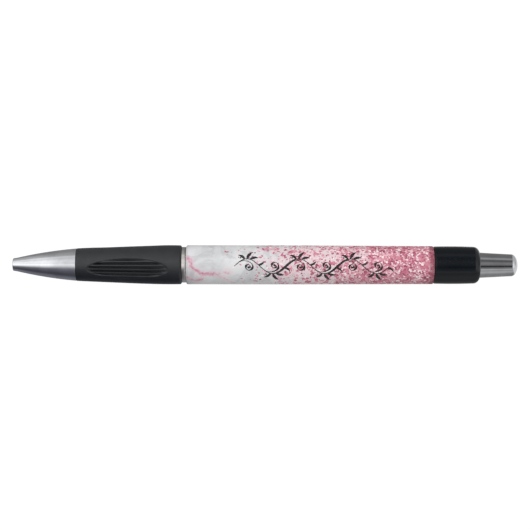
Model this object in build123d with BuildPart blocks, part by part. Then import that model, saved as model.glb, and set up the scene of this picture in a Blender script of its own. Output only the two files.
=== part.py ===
from build123d import *

# A retractable gel pen, made of separate pieces, in millimetres.
#
# The X axis is the axis of the pen: the point is towards -X and the push button towards +X.
# The origin is on that axis, in the straight round stretch of the barrel where a holder grips it.
# +Z is up as the pen lies on a table, on its barrel and on the outer edge of its pocket clip,
# which points to +Y and a little downwards. The point is drawn in, as when the button stands out.

import os
from math import asin, atan2, cos, degrees, hypot, radians, sin

# ---------------------------------------------------------------- places along the axis
nose_front_x = -71.0
grip_front_x = -53.1
grip_rear_x = -23.4
barrel_front_x = -22.1
barrel_rear_x = 47.25
cap_rear_x = 60.6
button_rear_x = 71.0

# ---------------------------------------------------------------- general clearances
seam = 0.05
slip = 0.02

# ---------------------------------------------------------------- nose cone
nose_mouth_r = 1.68
nose_edge = 0.3
nose_middle_x = -62.8
nose_middle_r = 3.27
nose_rear_r = 4.48
point_bore_r = 1.25
spring_seat_x = -65.6
spring_seat_r = 2.2
nose_cavity_r = 2.85
nose_thread_r = 3.52

# ---------------------------------------------------------------- grip core and its thread
core_bore_r = 2.7
spigot_front_x = -57.3
spigot_chamfer = 0.3
thread_root_r = 3.2
thread_crest_r = 3.45
thread_pitch = 0.8
thread_length = 2.4
thread_start_x = -56.7
thread_base = 0.6
thread_top = 0.14
thread_sunk = 0.08
core_front_r = 3.7
core_rear_r = 4.2
core_rear_x = -12.0

# ---------------------------------------------------------------- rubber grip
grip_front_r = 4.55
grip_front_edge = 0.25
grip_quarter = (-44.2, 4.93)
grip_half = (-37.5, 5.17)
grip_three_quarter = (-30.7, 5.38)
grip_rear_r = 5.42
grip_rear_edge = 0.5
rib_zones = 3
rib_zone_angle = 194.0
rib_pitch = 12.9
grooves_per_zone = 6
groove_width = 0.5
groove_depth = 0.55
groove_middle_x = -39.0
groove_longest = 23.4
groove_zone_half_angle = 40.0
groove_middle_r = 5.13
groove_slope = 1.85

# ---------------------------------------------------------------- trim ring
ring_r = 5.01
ring_edge = 0.15

# ---------------------------------------------------------------- barrel tube and printed sleeve
sleeve_r = 5.5
sleeve_rear_r = 5.35
sleeve_thickness = 0.13
sleeve_front_x = -21.6
sleeve_straight_to_x = 6.0
sleeve_rear_x = 46.9
tube_waist_draft = 0.02
barrel_lip_r = 5.02
barrel_lip_bulge = 0.14
barrel_rear_lip_r = 5.15
barrel_bore_front_r = 4.25
barrel_bore_r = 4.65
barrel_step_x = -11.6

# ---------------------------------------------------------------- end cap
cap_gap = 0.1
cap_front_r = 5.0
cap_front_edge = 0.2
cap_full_r = 5.21
cap_full_x = 51.5
cap_shoulder_x = 58.8
cap_shoulder_r = 5.08
cap_round = (60.12, 4.6)
cap_mouth_r = 3.62
cap_rim_r = 3.85
cap_bore_r = 4.05
cap_lip_x = 59.4
cap_spigot_x = 36.0
cap_spigot_r = 4.6
clip_slot_x = 53.6
clip_slot_length = 3.4
clip_slot_width = 3.2

# ---------------------------------------------------------------- pocket clip
clip_width = 4.0
clip_tip_width = 3.0
clip_reach = 7.7
clip_arm_inside = 6.85
clip_tip_x = 9.2
clip_tip_inside = 6.45
clip_tip_outside = 7.0
clip_bump_x = 13.4
clip_bump_r = 5.76
clip_bump_length = 5.2
clip_thin_from_x = 20.0
clip_root_front_x = 50.4
clip_rear_x = 56.6
clip_rear_round = 1.6
clip_foot_r = 5.3
clip_leg_end_r = 4.1
clip_edge = 0.45
clip_tip_rise = 0.5
clip_side_edge_from = 1.0

# ---------------------------------------------------------------- click mechanism
travel = 6.0
guide_front_x = 40.0
guide_rear_x = 52.0
guide_r = 4.0
guide_bore_r = 3.0
channels = 3
channel_width = 1.5
channel_r = 3.65
catch_width = 2.2
catch_depth = 1.0

rotor_front_x = 38.5
rotor_hub_x = 41.6
rotor_rear_x = 47.4
rotor_nose_r = 2.2
rotor_hub_r = 2.8
rotor_bore_r = 1.2
rib_width = 1.2
rib_r = 3.55
rotor_rib_x = (42.6, 46.0, 46.9)
tooth_count = 6
tooth_width = 1.6
tooth_height = 0.6
tooth_inner_r = 1.8
tooth_outer_r = 2.75

plunger_front_x = 47.6
plunger_r = 2.92
plunger_bore_r = 1.6
plunger_shoulder_x = 58.35
plunger_rear_x = 65.0
plunger_spigot_r = 2.4
plunger_rib_x = (48.7, 51.8)
notch_width = 2.4
notch_depth = 0.9

button_front_x = 58.4
button_flange_x = 59.3
button_flange_r = 3.85
button_r = 3.5
button_taper_x = 60.0
button_crease_x = 69.4
button_crease_r = 3.0
button_bore_r = 2.45
button_bore_rear_x = 65.2

# ---------------------------------------------------------------- refill
ball_r = 0.35
ball_x = -68.05
socket_r = 0.37
socket_rear_x = -67.7
ball_stop_r = 0.3
ball_stop_rear_x = -66.6
tip_front_x = -68.3
tip_front_r = 0.45
tip_shoulder_x = -65.9
tip_r = 1.15
tip_rear_x = -59.4
tip_stub_x = -56.8
tip_stub_r = 0.9
tip_bore_r = 0.5
tip_spring_front_x = -66.5
tip_spring_rear_x = -58.0
tip_spring_r = 0.36
tip_spring_wire_r = 0.06
tip_spring_turns = 8

holder_front_x = -59.35
holder_nose_r = 1.5
holder_shoulder_x = -55.5
holder_shoulder_r = 2.15
holder_collar_x = -54.3
holder_rear_x = -48.5
holder_socket_r = 0.92
holder_bore_r = 0.6

tube_r = 2.4
tube_bore_r = 1.95
tube_front_x = -52.8
tube_rear_x = 36.5
ink_rear_x = 12.0
grease_length = 4.0
grease_hollow = 0.6
grease_skin_r = 3.0
plug_front_x = 31.5
plug_rear_x = 38.45
plug_vent_r = 0.5

spring_r = 1.85
spring_wire_r = 0.2
spring_turns = 7

# How far the clip turns below the horizontal so that its rounded outer edge meets the table.
clip_tilt = degrees(
    asin((sleeve_r - clip_edge) / hypot(clip_reach - clip_edge, clip_width / 2 - clip_edge))
    - atan2(clip_width / 2 - clip_edge, clip_reach - clip_edge)
)


# ---------------------------------------------------------------- shared geometry
def facing(angle, distance=0.0, along=0.0, slope=0.0):
    """The plane that faces away from the axis at an angle about it; its x runs along the pen."""
    across, up = cos(radians(angle)), sin(radians(angle))
    tilt = radians(slope)
    lengthwise = (cos(tilt), sin(tilt) * across, sin(tilt) * up)
    outward = (-sin(tilt), cos(tilt) * across, cos(tilt) * up)
    return Plane(origin=(along, distance * across, distance * up), x_dir=lengthwise, z_dir=outward)


def outline(*corners):
    """A closed outline in the half plane of (place along the axis, radius)."""
    with BuildSketch(Plane.XY) as section:
        with BuildLine():
            Polyline(*corners, close=True)
        make_face()
    return section.sketch


def shaft(front_x, rear_x, outer_r, inner_r):
    """The outline of a plain round tube between two places on the axis."""
    return outline((front_x, inner_r), (front_x, outer_r), (rear_x, outer_r), (rear_x, inner_r))


def coil(front_x, rear_x, coil_r, wire_r, turns):
    """A round wire wound about the axis, with both ends of the wire inside the given places."""
    rise = rear_x - front_x - 2 * wire_r
    with BuildPart() as winding:
        with BuildLine() as path:
            Helix(rise / turns, rise, coil_r, center=(front_x + wire_r, 0, 0), direction=(1, 0, 0))
        with BuildSketch(Plane(origin=path.line @ 0, z_dir=path.line % 0)):
            Circle(wire_r)
        sweep(is_frenet=True)
    return winding.part


def save(piece, name):
    """Label a finished piece and write it to its own file."""
    piece.part.label = name
    export_step(piece.part, f"parts/{name}.step")


os.makedirs("parts", exist_ok=True)

# ---------------------------------------------------------------- nose cone
# A turned metal cone with a fine bore for the point, a seat for the return spring and a
# threaded mouth that screws over the front of the grip core.
nose_rear_x = grip_front_x - seam
nose_thread_x = spigot_front_x - seam
with BuildPart() as nose_cone:
    with BuildSketch(Plane.XY):
        with BuildLine():
            Line((nose_front_x, point_bore_r), (nose_front_x, nose_mouth_r - nose_edge))
            RadiusArc(
                (nose_front_x, nose_mouth_r - nose_edge),
                (nose_front_x + nose_edge, nose_mouth_r),
                nose_edge,
            )
            ThreePointArc(
                (nose_front_x + nose_edge, nose_mouth_r),
                (nose_middle_x, nose_middle_r),
                (nose_rear_x, nose_rear_r),
            )
            Polyline(
                (nose_rear_x, nose_rear_r),
                (nose_rear_x, nose_thread_r),
                (nose_thread_x, nose_thread_r),
                (nose_thread_x, nose_cavity_r),
                (spring_seat_x, spring_seat_r),
                (spring_seat_x, point_bore_r),
                (nose_front_x, point_bore_r),
            )
        make_face()
    revolve(axis=Axis.X)
save(nose_cone, "nose_cone")

# ---------------------------------------------------------------- grip core
# The stiff lower barrel under the rubber, with a male thread at its front for the nose cone
# and a plain spigot at its rear that is pressed into the barrel.
with BuildPart() as thread:
    with BuildLine() as thread_path:
        Helix(
            thread_pitch,
            thread_length,
            thread_root_r,
            center=(thread_start_x, 0, 0),
            direction=(1, 0, 0),
        )
    thread_start = thread_path.line @ 0
    thread_outward = thread_start - Vector(thread_start_x, 0, 0)
    with BuildSketch(Plane(origin=thread_start, x_dir=thread_outward, z_dir=thread_path.line % 0)):
        with BuildLine():
            Polyline(
                (-thread_sunk, -thread_base / 2),
                (thread_crest_r - thread_root_r, -thread_top / 2),
                (thread_crest_r - thread_root_r, thread_top / 2),
                (-thread_sunk, thread_base / 2),
                close=True,
            )
        make_face()
    sweep(is_frenet=True)

with BuildPart() as grip_core:
    with BuildSketch(Plane.XY):
        with BuildLine():
            Polyline(
                (spigot_front_x, core_bore_r),
                (spigot_front_x, thread_root_r - spigot_chamfer),
                (spigot_front_x + spigot_chamfer, thread_root_r),
                (grip_front_x, thread_root_r),
                (grip_front_x, core_front_r),
                (grip_rear_x, core_rear_r),
                (core_rear_x, core_rear_r),
                (core_rear_x, core_bore_r),
                close=True,
            )
        make_face()
    revolve(axis=Axis.X)
    add(thread.part)
save(grip_core, "grip_core")

# ---------------------------------------------------------------- rubber grip
# A swelling rubber sleeve with leaf-shaped fields of lengthwise grooves around it.
with BuildPart() as rubber_grip:
    with BuildSketch(Plane.XY):
        with BuildLine():
            Line(
                (grip_front_x, core_front_r + slip),
                (grip_front_x, grip_front_r - grip_front_edge),
            )
            RadiusArc(
                (grip_front_x, grip_front_r - grip_front_edge),
                (grip_front_x + grip_front_edge, grip_front_r),
                grip_front_edge,
            )
            Spline(
                (grip_front_x + grip_front_edge, grip_front_r),
                grip_quarter,
                grip_half,
                grip_three_quarter,
                (grip_rear_x - grip_rear_edge, grip_rear_r),
            )
            RadiusArc(
                (grip_rear_x - grip_rear_edge, grip_rear_r),
                (grip_rear_x, grip_rear_r - grip_rear_edge),
                grip_rear_edge,
            )
            Polyline(
                (grip_rear_x, grip_rear_r - grip_rear_edge),
                (grip_rear_x, core_rear_r + slip),
                (grip_front_x, core_front_r + slip),
            )
        make_face()
    revolve(axis=Axis.X)
    for zone in range(rib_zones):
        for groove in range(grooves_per_zone):
            off_middle = (groove - (grooves_per_zone - 1) / 2) * rib_pitch
            groove_length = groove_longest * cos(radians(90 * off_middle / groove_zone_half_angle))
            angle = rib_zone_angle + zone * 360 / rib_zones + off_middle - clip_tilt
            floor_r = groove_middle_r - groove_depth
            with BuildSketch(facing(angle, floor_r, groove_middle_x, groove_slope)):
                SlotOverall(groove_length, groove_width)
            extrude(amount=2 * groove_depth, mode=Mode.SUBTRACT)
save(rubber_grip, "rubber_grip")

# ---------------------------------------------------------------- trim ring
# A thin metal ring held between the rubber grip and the barrel.
with BuildPart() as trim_ring:
    revolve(shaft(grip_rear_x + slip, barrel_front_x - slip, ring_r, core_rear_r + slip), axis=Axis.X)
    chamfer(trim_ring.edges().filter_by(GeomType.CIRCLE).sort_by(SortBy.RADIUS)[-2:], ring_edge)
save(trim_ring, "trim_ring")

# ---------------------------------------------------------------- barrel tube
# A plain tube with a shallow waist for the printed sleeve, between two raised ends. The waist
# narrows a little all the way to the rear, so that the moulding leaves its tool.
tube_waist_r = sleeve_r - sleeve_thickness - slip
tube_waist_rear_r = sleeve_rear_r - sleeve_thickness - slip
with BuildPart() as barrel_tube:
    with BuildSketch(Plane.XY):
        with BuildLine():
            Line((barrel_front_x, barrel_bore_front_r), (barrel_front_x, barrel_lip_r))
            ThreePointArc(
                (barrel_front_x, barrel_lip_r),
                (barrel_front_x + barrel_lip_bulge, sleeve_r - barrel_lip_bulge),
                (sleeve_front_x - slip, sleeve_r - slip),
            )
            Polyline(
                (sleeve_front_x - slip, sleeve_r - slip),
                (sleeve_front_x - slip, tube_waist_r),
                (sleeve_straight_to_x, tube_waist_r - tube_waist_draft),
                (sleeve_rear_x + slip, tube_waist_rear_r),
                (sleeve_rear_x + slip, sleeve_rear_r - slip),
                (barrel_rear_x, barrel_rear_lip_r),
                (barrel_rear_x, barrel_bore_r),
                (barrel_step_x, barrel_bore_r),
                (barrel_step_x, barrel_bore_front_r),
                (barrel_front_x, barrel_bore_front_r),
            )
        make_face()
    revolve(axis=Axis.X)
save(barrel_tube, "barrel_tube")

# ---------------------------------------------------------------- printed sleeve
# The thin decorated film that is wrapped round the waist of the barrel.
with BuildPart() as printed_sleeve:
    revolve(
        outline(
            (sleeve_front_x, sleeve_r - sleeve_thickness),
            (sleeve_front_x, sleeve_r),
            (sleeve_straight_to_x, sleeve_r),
            (sleeve_rear_x, sleeve_rear_r),
            (sleeve_rear_x, sleeve_rear_r - sleeve_thickness),
            (sleeve_straight_to_x, sleeve_r - sleeve_thickness),
        ),
        axis=Axis.X,
    )
save(printed_sleeve, "printed_sleeve")

# ---------------------------------------------------------------- end cap
# The gloss cap is pressed into the rear of the barrel. It holds the click mechanism, keeps the
# button in with a lip round its mouth, and has a slot through its wall for the clip.
cap_front_x = barrel_rear_x + cap_gap
with BuildPart() as end_cap:
    with BuildSketch(Plane.XY):
        with BuildLine():
            Polyline(
                (cap_spigot_x, cap_bore_r),
                (cap_spigot_x, cap_spigot_r),
                (cap_front_x, cap_spigot_r),
                (cap_front_x, cap_front_r),
                (cap_front_x + cap_front_edge, cap_front_r + cap_front_edge),
            )
            ThreePointArc(
                (cap_front_x + cap_front_edge, cap_front_r + cap_front_edge),
                (cap_full_x, cap_full_r),
                (cap_shoulder_x, cap_shoulder_r),
            )
            ThreePointArc((cap_shoulder_x, cap_shoulder_r), cap_round, (cap_rear_x, cap_rim_r))
            Polyline(
                (cap_rear_x, cap_rim_r),
                (cap_rear_x, cap_mouth_r),
                (cap_lip_x, cap_mouth_r),
                (cap_lip_x, cap_bore_r),
                (cap_spigot_x, cap_bore_r),
            )
        make_face()
    revolve(axis=Axis.X)
    with BuildSketch(facing(-clip_tilt, guide_bore_r, clip_slot_x)):
        Rectangle(clip_slot_length, clip_slot_width)
    extrude(amount=cap_full_r, mode=Mode.SUBTRACT)
save(end_cap, "end_cap")

# ---------------------------------------------------------------- pocket clip
# A sprung arm along the barrel. Its leg is pressed into the slot of the cap and a bump near
# its free end holds cloth or paper against the barrel.
clip_side = Plane(
    origin=(0, 0, 0),
    x_dir=(1, 0, 0),
    z_dir=(0, sin(radians(clip_tilt)), cos(radians(clip_tilt))),
)
clip_outward = facing(-clip_tilt).z_dir
clip_across = facing(-clip_tilt).y_dir
leg_front_x = clip_slot_x - clip_slot_length / 2 + slip
leg_rear_x = clip_slot_x + clip_slot_length / 2 - slip
with BuildPart() as pocket_clip:
    with BuildSketch(clip_side):
        with BuildLine():
            Polyline(
                (clip_tip_x, clip_tip_inside),
                (clip_tip_x, clip_tip_outside),
                (clip_thin_from_x, clip_reach),
                (clip_rear_x - clip_rear_round, clip_reach),
            )
            JernArc(
                start=(clip_rear_x - clip_rear_round, clip_reach),
                tangent=(1, 0),
                radius=clip_rear_round,
                arc_size=-90,
            )
            Line((clip_rear_x, clip_reach - clip_rear_round), (clip_rear_x, clip_foot_r))
            Polyline(
                (clip_rear_x, clip_foot_r),
                (leg_rear_x, clip_foot_r),
                (leg_rear_x, clip_leg_end_r),
                (leg_front_x, clip_leg_end_r),
                (leg_front_x, clip_foot_r),
                (clip_root_front_x + clip_edge, clip_foot_r),
                (clip_root_front_x, clip_foot_r + clip_edge),
            )
            ThreePointArc(
                (clip_root_front_x, clip_foot_r + clip_edge),
                (clip_root_front_x - clip_edge, clip_arm_inside - clip_edge / 2),
                (clip_root_front_x - 2 * clip_edge, clip_arm_inside),
            )
            Line(
                (clip_root_front_x - 2 * clip_edge, clip_arm_inside),
                (clip_bump_x + clip_bump_length, clip_arm_inside),
            )
            Spline(
                (clip_bump_x + clip_bump_length, clip_arm_inside),
                (clip_bump_x, clip_bump_r),
                (clip_tip_x, clip_tip_inside),
                tangents=[(-1, 0), (-1, clip_tip_rise)],
            )
        make_face()
    extrude(amount=clip_width / 2, both=True)
    with BuildSketch(facing(-clip_tilt)) as clip_face:
        with BuildLine():
            Polyline(
                (clip_rear_x, -clip_width / 2),
                (clip_rear_x, clip_width / 2),
                (clip_root_front_x, clip_width / 2),
                (clip_tip_x + clip_tip_width / 2, clip_tip_width / 2),
            )
            ThreePointArc(
                (clip_tip_x + clip_tip_width / 2, clip_tip_width / 2),
                (clip_tip_x, 0),
                (clip_tip_x + clip_tip_width / 2, -clip_tip_width / 2),
            )
            Polyline(
                (clip_tip_x + clip_tip_width / 2, -clip_tip_width / 2),
                (clip_root_front_x, -clip_width / 2),
                (clip_rear_x, -clip_width / 2),
            )
        make_face()
    extrude(amount=2 * clip_reach, mode=Mode.INTERSECT)
    with BuildSketch(facing(-clip_tilt, 0, clip_slot_x)):
        Rectangle(clip_slot_length, clip_width)
        Rectangle(clip_slot_length, clip_slot_width - 2 * slip, mode=Mode.SUBTRACT)
    extrude(amount=clip_foot_r, mode=Mode.SUBTRACT)
    outer_edges = pocket_clip.edges().filter_by(
        lambda edge: edge.center().dot(clip_outward) > clip_tip_outside
        and abs(edge.center().dot(clip_across)) > clip_side_edge_from
    )
    fillet(outer_edges, clip_edge)
save(pocket_clip, "pocket_clip")

# ---------------------------------------------------------------- cam guide
# A sleeve inside the cap with lengthwise channels, and sloped catches between them at its
# front end, on which the rotor rests while the point is out.
with BuildPart() as cam_guide:
    revolve(shaft(guide_front_x, guide_rear_x, guide_r, guide_bore_r), axis=Axis.X)
    for channel in range(channels):
        angle = channel * 360 / channels
        with BuildSketch(facing(angle, 0, (guide_front_x + guide_rear_x) / 2)):
            Rectangle(guide_rear_x - guide_front_x, channel_width)
        extrude(amount=channel_r, mode=Mode.SUBTRACT)
        with BuildSketch(facing(angle + 180 / channels, guide_bore_r / 2)):
            with BuildLine():
                Polyline(
                    (guide_front_x, -catch_width / 2),
                    (guide_front_x + catch_depth, catch_width / 2),
                    (guide_front_x, catch_width / 2),
                    close=True,
                )
            make_face()
        extrude(amount=guide_r, mode=Mode.SUBTRACT)
save(cam_guide, "cam_guide")

# ---------------------------------------------------------------- cam rotor
# The rotor pushes the refill. Its ribs ride in the channels of the guide, and the teeth at its
# rear are turned by the notches of the plunger when the ribs leave the channels.
with BuildPart() as cam_rotor:
    revolve(
        outline(
            (rotor_front_x, rotor_bore_r),
            (rotor_front_x, rotor_nose_r),
            (rotor_hub_x, rotor_nose_r),
            (rotor_hub_x, rotor_hub_r),
            (rotor_rear_x, rotor_hub_r),
            (rotor_rear_x, rotor_bore_r),
        ),
        axis=Axis.X,
    )
    for rib in range(channels):
        with BuildSketch(facing(rib * 360 / channels, rotor_bore_r + rib_width / 2)):
            with BuildLine():
                Polyline(
                    (rotor_rib_x[0], -rib_width / 2),
                    (rotor_rib_x[0], rib_width / 2),
                    (rotor_rib_x[1], rib_width / 2),
                    (rotor_rib_x[2], -rib_width / 2),
                    close=True,
                )
            make_face()
        extrude(amount=rib_r - rotor_bore_r - rib_width / 2)
    for tooth in range(tooth_count):
        with BuildSketch(facing(tooth * 360 / tooth_count, tooth_inner_r)):
            with BuildLine():
                Polyline(
                    (rotor_rear_x - tooth_height, -tooth_width / 2),
                    (rotor_rear_x, -tooth_width / 2),
                    (rotor_rear_x + tooth_height, 0),
                    (rotor_rear_x, tooth_width / 2),
                    (rotor_rear_x - tooth_height, tooth_width / 2),
                    close=True,
                )
            make_face()
        extrude(amount=tooth_outer_r - tooth_inner_r)
save(cam_rotor, "cam_rotor")

# ---------------------------------------------------------------- cam plunger
# The plunger carries the push button. Its ribs share the channels and its notched front end
# drives the rotor.
with BuildPart() as cam_plunger:
    revolve(
        outline(
            (plunger_front_x, plunger_bore_r),
            (plunger_front_x, plunger_r),
            (plunger_shoulder_x, plunger_r),
            (plunger_shoulder_x, plunger_spigot_r),
            (plunger_rear_x, plunger_spigot_r),
            (plunger_rear_x, plunger_bore_r),
        ),
        axis=Axis.X,
    )
    for rib in range(channels):
        rib_middle_x = (plunger_rib_x[0] + plunger_rib_x[1]) / 2
        with BuildSketch(facing(rib * 360 / channels, plunger_bore_r + rib_width / 2, rib_middle_x)):
            Rectangle(plunger_rib_x[1] - plunger_rib_x[0], rib_width)
        extrude(amount=rib_r - plunger_bore_r - rib_width / 2)
    for notch in range(tooth_count):
        with BuildSketch(facing(notch * 360 / tooth_count, rib_width)):
            with BuildLine():
                Polyline(
                    (plunger_front_x, -notch_width / 2),
                    (plunger_front_x + notch_depth, 0),
                    (plunger_front_x, notch_width / 2),
                    close=True,
                )
            make_face()
        extrude(amount=plunger_r, mode=Mode.SUBTRACT)
save(cam_plunger, "cam_plunger")

# ---------------------------------------------------------------- push button
# A tapered metal shell with a domed end, pressed onto the plunger. A flange behind the lip
# of the cap keeps it in.
with BuildPart() as push_button:
    with BuildSketch(Plane.XY):
        with BuildLine():
            Polyline(
                (button_front_x, button_bore_r),
                (button_front_x, button_flange_r),
                (button_flange_x, button_flange_r),
                (button_flange_x, button_r),
                (button_taper_x, button_r),
                (button_crease_x, button_crease_r),
            )
            EllipticalCenterArc(
                center=(button_crease_x, 0),
                x_radius=button_rear_x - button_crease_x,
                y_radius=button_crease_r,
                start_angle=0,
                arc_size=90,
            )
            Polyline(
                (button_rear_x, 0),
                (button_bore_rear_x, 0),
                (button_bore_rear_x, button_bore_r),
                (button_front_x, button_bore_r),
            )
        make_face()
    revolve(axis=Axis.X)
save(push_button, "push_button")

# ---------------------------------------------------------------- writing ball
with BuildPart() as writing_ball:
    with Locations((ball_x, 0, 0)):
        Sphere(ball_r)
save(writing_ball, "writing_ball")

# ---------------------------------------------------------------- point tip
# The metal point: a socket for the ball, a cone, a straight shank and a stub for the holder.
with BuildPart() as point_tip:
    revolve(
        outline(
            (tip_front_x, socket_r),
            (tip_front_x, tip_front_r),
            (tip_shoulder_x, tip_r),
            (tip_rear_x, tip_r),
            (tip_rear_x, tip_stub_r),
            (tip_stub_x, tip_stub_r),
            (tip_stub_x, tip_bore_r),
            (ball_stop_rear_x, tip_bore_r),
            (ball_stop_rear_x, ball_stop_r),
            (socket_rear_x, ball_stop_r),
            (socket_rear_x, socket_r),
        ),
        axis=Axis.X,
    )
save(point_tip, "point_tip")

# ---------------------------------------------------------------- tip spring
# The fine spring behind the ball that closes the socket while the pen is not writing.
with BuildPart() as tip_spring:
    add(coil(tip_spring_front_x, tip_spring_rear_x, tip_spring_r, tip_spring_wire_r, tip_spring_turns))
save(tip_spring, "tip_spring")

# ---------------------------------------------------------------- point holder
# The plastic adapter that joins the metal point to the ink tube. Its shoulder carries the
# rear end of the return spring.
with BuildPart() as point_holder:
    revolve(
        outline(
            (holder_front_x, holder_socket_r),
            (holder_front_x, holder_nose_r),
            (holder_shoulder_x, holder_nose_r),
            (holder_shoulder_x, holder_shoulder_r),
            (holder_collar_x, tube_r),
            (tube_front_x - slip, tube_r),
            (tube_front_x - slip, tube_bore_r - slip),
            (holder_rear_x, tube_bore_r - slip),
            (holder_rear_x, holder_bore_r),
            (tip_stub_x + seam, holder_bore_r),
            (tip_stub_x + seam, holder_socket_r),
        ),
        axis=Axis.X,
    )
save(point_holder, "point_holder")

# ---------------------------------------------------------------- refill tube
with BuildPart() as refill_tube:
    revolve(shaft(tube_front_x, tube_rear_x, tube_r, tube_bore_r), axis=Axis.X)
save(refill_tube, "refill_tube")

# ---------------------------------------------------------------- gel ink
with BuildPart() as gel_ink:
    revolve(shaft(holder_rear_x + slip, ink_rear_x, tube_bore_r - slip, 0), axis=Axis.X)
save(gel_ink, "gel_ink")

# ---------------------------------------------------------------- grease follower
# The clear plug of grease that follows the ink, hollowed at its rear by its own skin.
grease_rear_x = ink_rear_x + grease_length
with BuildPart() as grease_follower:
    revolve(shaft(ink_rear_x + slip, grease_rear_x, tube_bore_r - slip, 0), axis=Axis.X)
    with Locations((grease_rear_x - grease_hollow + grease_skin_r, 0, 0)):
        Sphere(grease_skin_r, mode=Mode.SUBTRACT)
save(grease_follower, "grease_follower")

# ---------------------------------------------------------------- tail plug
# The vented plug that closes the rear of the refill and takes the push of the rotor.
with BuildPart() as tail_plug:
    revolve(
        outline(
            (plug_front_x, plug_vent_r),
            (plug_front_x, tube_bore_r - slip),
            (tube_rear_x + slip, tube_bore_r - slip),
            (tube_rear_x + slip, tube_r),
            (plug_rear_x, tube_r),
            (plug_rear_x, plug_vent_r),
        ),
        axis=Axis.X,
    )
save(tail_plug, "tail_plug")

# ---------------------------------------------------------------- return spring
# The spring round the front of the refill, from its seat in the nose cone to the holder.
with BuildPart() as return_spring:
    add(coil(spring_seat_x + slip, holder_shoulder_x - slip, spring_r, spring_wire_r, spring_turns))
save(return_spring, "return_spring")
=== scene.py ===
from math import asin, atan2, cos, hypot, pi, radians, sin, tan

import bmesh
import bpy
import numpy as np
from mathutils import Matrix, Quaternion, Vector


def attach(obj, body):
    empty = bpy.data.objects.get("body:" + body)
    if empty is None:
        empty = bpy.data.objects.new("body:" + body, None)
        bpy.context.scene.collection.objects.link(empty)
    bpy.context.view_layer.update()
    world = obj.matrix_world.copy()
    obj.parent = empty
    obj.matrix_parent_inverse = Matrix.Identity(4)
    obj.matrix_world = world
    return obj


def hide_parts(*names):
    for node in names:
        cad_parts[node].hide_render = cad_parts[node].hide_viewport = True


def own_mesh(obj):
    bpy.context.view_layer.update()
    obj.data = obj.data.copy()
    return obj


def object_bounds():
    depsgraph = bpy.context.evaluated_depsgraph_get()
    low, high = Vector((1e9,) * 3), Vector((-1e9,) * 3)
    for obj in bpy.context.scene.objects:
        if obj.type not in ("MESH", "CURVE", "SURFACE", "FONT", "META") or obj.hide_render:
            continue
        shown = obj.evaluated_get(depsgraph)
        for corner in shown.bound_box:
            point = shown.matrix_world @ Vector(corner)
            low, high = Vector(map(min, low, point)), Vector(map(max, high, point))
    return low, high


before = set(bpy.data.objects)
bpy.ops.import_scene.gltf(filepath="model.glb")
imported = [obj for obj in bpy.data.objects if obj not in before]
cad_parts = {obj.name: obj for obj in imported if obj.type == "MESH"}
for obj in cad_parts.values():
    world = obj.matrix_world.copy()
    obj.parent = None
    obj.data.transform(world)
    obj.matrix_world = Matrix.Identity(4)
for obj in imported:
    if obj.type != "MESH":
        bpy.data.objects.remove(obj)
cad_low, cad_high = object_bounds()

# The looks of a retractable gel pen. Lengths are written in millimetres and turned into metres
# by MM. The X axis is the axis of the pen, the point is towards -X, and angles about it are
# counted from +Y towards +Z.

MM = 0.001
ROUND_STEPS = 256
WELD = 1e-8

# The pen lies on the floor on its barrel and on the rounded outer edge of its clip. The clip
# points straight away from the viewer, so its tilt below the horizon gives the viewed side.
BARREL_R = 5.5
CLIP_REACH = 7.7
CLIP_HALF_WIDTH = 2.0
CLIP_EDGE = 0.45
edge_out, edge_across = CLIP_REACH - CLIP_EDGE, CLIP_HALF_WIDTH - CLIP_EDGE
CLIP_TILT = asin((BARREL_R - CLIP_EDGE) / hypot(edge_out, edge_across)) - atan2(edge_across, edge_out)
FACING = pi - CLIP_TILT


# ------------------------------------------------------------------ mesh helpers
def new_piece(name, mesh, body, material, slot, *replaced, smooth_to=32):
    """Shade a finished mesh, and hang it on its body with its material."""
    mesh.shade_smooth()
    mesh.set_sharp_from_angle(angle=radians(smooth_to))
    piece = bpy.data.objects.new(name, mesh)
    bpy.context.scene.collection.objects.link(piece)
    mesh.materials.append(material)
    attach(piece, body)
    if replaced:
        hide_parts(*replaced)
    return piece


def rounded(corners, steps=4):
    """A closed outline from corners of (place along the axis, radius, rounding), in millimetres."""
    points = []
    for i, (x, r, rounding) in enumerate(corners):
        here = Vector((x, r))
        if not rounding:
            points.append(here)
            continue
        before = Vector(corners[i - 1][:2]) - here
        after = Vector(corners[(i + 1) % len(corners)][:2]) - here
        reach = rounding / tan(before.angle(after) / 2)
        reach = min(reach, before.length / 2, after.length / 2)
        start = here + before.normalized() * reach
        end = here + after.normalized() * reach
        for k in range(steps + 1):
            t = k / steps
            points.append(start * (1 - t) ** 2 + here * (2 * t * (1 - t)) + end * t**2)
    return [(p.x, p.y) for p in points]


def arc(start, middle, end, steps):
    """Corners strictly between start and end on the circle through three points."""
    a, b, c = Vector(start), Vector(middle), Vector(end)
    d = 2 * (a.x * (b.y - c.y) + b.x * (c.y - a.y) + c.x * (a.y - b.y))
    a2, b2, c2 = a.length_squared, b.length_squared, c.length_squared
    ux = (a2 * (b.y - c.y) + b2 * (c.y - a.y) + c2 * (a.y - b.y)) / d
    uy = (a2 * (c.x - b.x) + b2 * (a.x - c.x) + c2 * (b.x - a.x)) / d
    centre = Vector((ux, uy))
    radius = (a - centre).length
    first = atan2(a.y - uy, a.x - ux)
    last = atan2(c.y - uy, c.x - ux)
    if abs(last - first) > pi:
        last += 2 * pi if last < first else -2 * pi
    return [
        (
            ux + radius * cos(first + (last - first) * k / steps),
            uy + radius * sin(first + (last - first) * k / steps),
            0,
        )
        for k in range(1, steps)
    ]


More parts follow.
